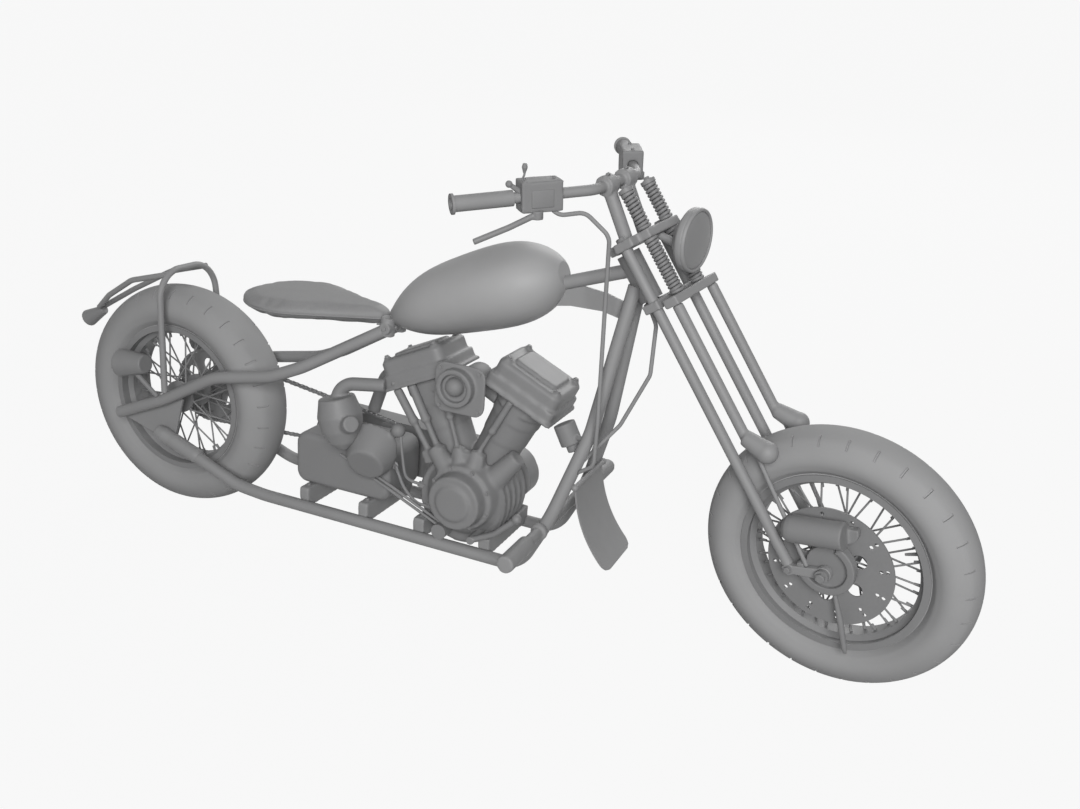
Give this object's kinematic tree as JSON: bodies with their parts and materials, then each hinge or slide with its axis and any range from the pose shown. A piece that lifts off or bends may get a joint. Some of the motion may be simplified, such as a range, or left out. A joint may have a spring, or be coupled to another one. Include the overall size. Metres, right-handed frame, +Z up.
{
  "type": "motorcycle",
  "caption": "Rigid-frame chopper motorcycle with a springer fork, wide bars and a V-twin engine, leaning on its side stand.",
  "frame": {"origin": "middle of the parked machine's footprint box, on the ground", "axes": "+X forward, +Y to the rider's left, +Z up; the machine leans to its left on its side stand"},
  "size_m": [2.634, 0.898, 1.1401],
  "materials": {
    "bright_metal": "satin, brushed",
    "cable_rubber": "satin sheath",
    "cast_metal": "bead blasted",
    "fork_metal": "satin powder coat",
    "frame_paint": "satin powder coat",
    "grip_rubber": "matt",
    "lamp_glass": "clear",
    "lamp_plastic": "gloss",
    "seat_leather": "satin hide",
    "steel": "satin",
    "tank_paint": "satin paint",
    "tyre": "matt"
  },
  "bodies": {
    "rear_wheel": {"rear_tyre": "tyre", "rear_rim": "bright_metal", "rear_hub": "steel", "rear_sprocket": "steel"},
    "front_wheel": {"front_tyre": "tyre", "front_rim": "bright_metal", "front_hub": "steel", "brake_rotor": "steel"},
    "frame": {"downtubes": "frame_paint", "lower_rails": "frame_paint", "seat_stays": "frame_paint", "axle_plates": "frame_paint", "rear_axle": "steel", "tail_lamp": "lamp_plastic", "rear_hoop": "frame_paint", "turn_lamps": "lamp_plastic", "peg_bar": "frame_paint", "stone_guard": "frame_paint", "frame_backbone": "frame_paint", "fuel_tank": "tank_paint", "seat": "seat_leather", "seat_mount": "frame_paint", "crankcase": "cast_metal", "cylinders": "cast_metal", "cylinder_heads": "cast_metal", "rocker_boxes": "bright_metal", "cam_cover": "bright_metal", "pushrod_tubes": "steel", "tappet_blocks": "cast_metal", "carburettor": "cast_metal", "gearbox": "cast_metal", "gearbox_cover": "bright_metal", "primary_cover": "bright_metal", "engine_mounts": "frame_paint", "rear_exhaust": "steel", "left_exhaust": "steel", "canister": "cast_metal", "foot_lever": "steel", "brake_rod": "steel", "drive_sprocket": "steel", "chain": "steel", "control_cables": "cable_rubber", "stand_bracket": "frame_paint"},
    "fork": {"lower_yoke": "fork_metal", "top_yoke": "fork_metal", "rear_legs": "fork_metal", "spring_rods": "steel", "fork_springs": "steel", "spring_bridge": "fork_metal", "spring_legs": "fork_metal", "rockers": "fork_metal", "front_axle": "steel", "brake_caliper": "cast_metal", "handlebar": "fork_metal", "grips": "grip_rubber", "bar_controls": "cast_metal", "bar_levers": "bright_metal", "headlight": "fork_metal", "headlight_lens": "lamp_glass"},
    "side_stand": {"side_stand": "frame_paint"}
  },
  "joints": [
    {"name": "steering", "type": "hinge", "parent": "frame", "child": "fork", "pos_m": [0.43421, 0.02315, 0.88716], "axis": [-0.5733, 0.1493, 0.8057], "range_deg": [-16.2, 43.8], "deforming": ["control_cables"]},
    {"name": "rear_wheel_spin", "type": "hinge", "parent": "frame", "child": "rear_wheel", "pos_m": [-0.92608, -0.08071, 0.32732], "axis": [-0.0001, 0.9833, -0.1822], "continuous": true},
    {"name": "front_wheel_spin", "type": "hinge", "parent": "fork", "child": "front_wheel", "pos_m": [0.99578, -0.11322, 0.32524], "axis": [0.1954, 0.9798, -0.0425], "continuous": true},
    {"name": "side_stand_fold", "type": "hinge", "parent": "frame", "child": "side_stand", "pos_m": [-0.06416, 0.04184, 0.12119], "axis": [0.059, 0.6117, 0.7889], "range_deg": [0, 105.9]}
  ]
}
